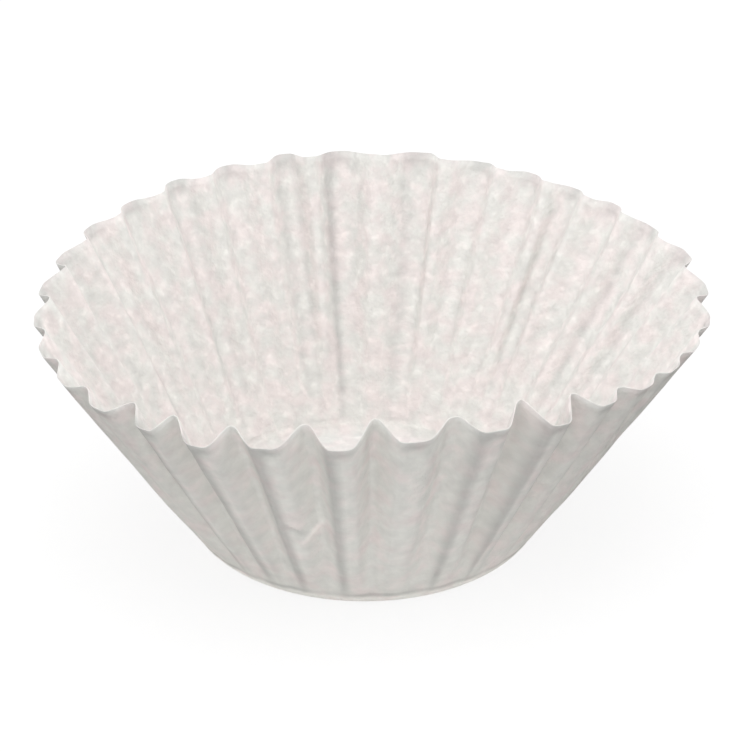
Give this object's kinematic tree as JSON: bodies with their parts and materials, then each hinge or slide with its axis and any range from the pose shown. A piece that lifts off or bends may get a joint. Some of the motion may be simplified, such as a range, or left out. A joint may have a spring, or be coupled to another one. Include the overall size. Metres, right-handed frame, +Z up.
{
  "type": "paper coffee filter",
  "caption": "Flat-bottomed basket coffee filter of thin white paper, with a fluted wall that opens out to a wavy cut rim.",
  "frame": {"origin": "under the middle of the rim, on the plane that the flat base rests on", "axes": "+Z up out of the open mouth, -Y is the side that faces the picture's camera, +X is its right"},
  "size_m": [0.1513, 0.1421, 0.0621],
  "materials": {
    "filter_paper": "matte, soft and faintly mottled, a little light comes through"
  },
  "bodies": {
    "root": {"paper_filter": "filter_paper"}
  },
  "joints": []
}
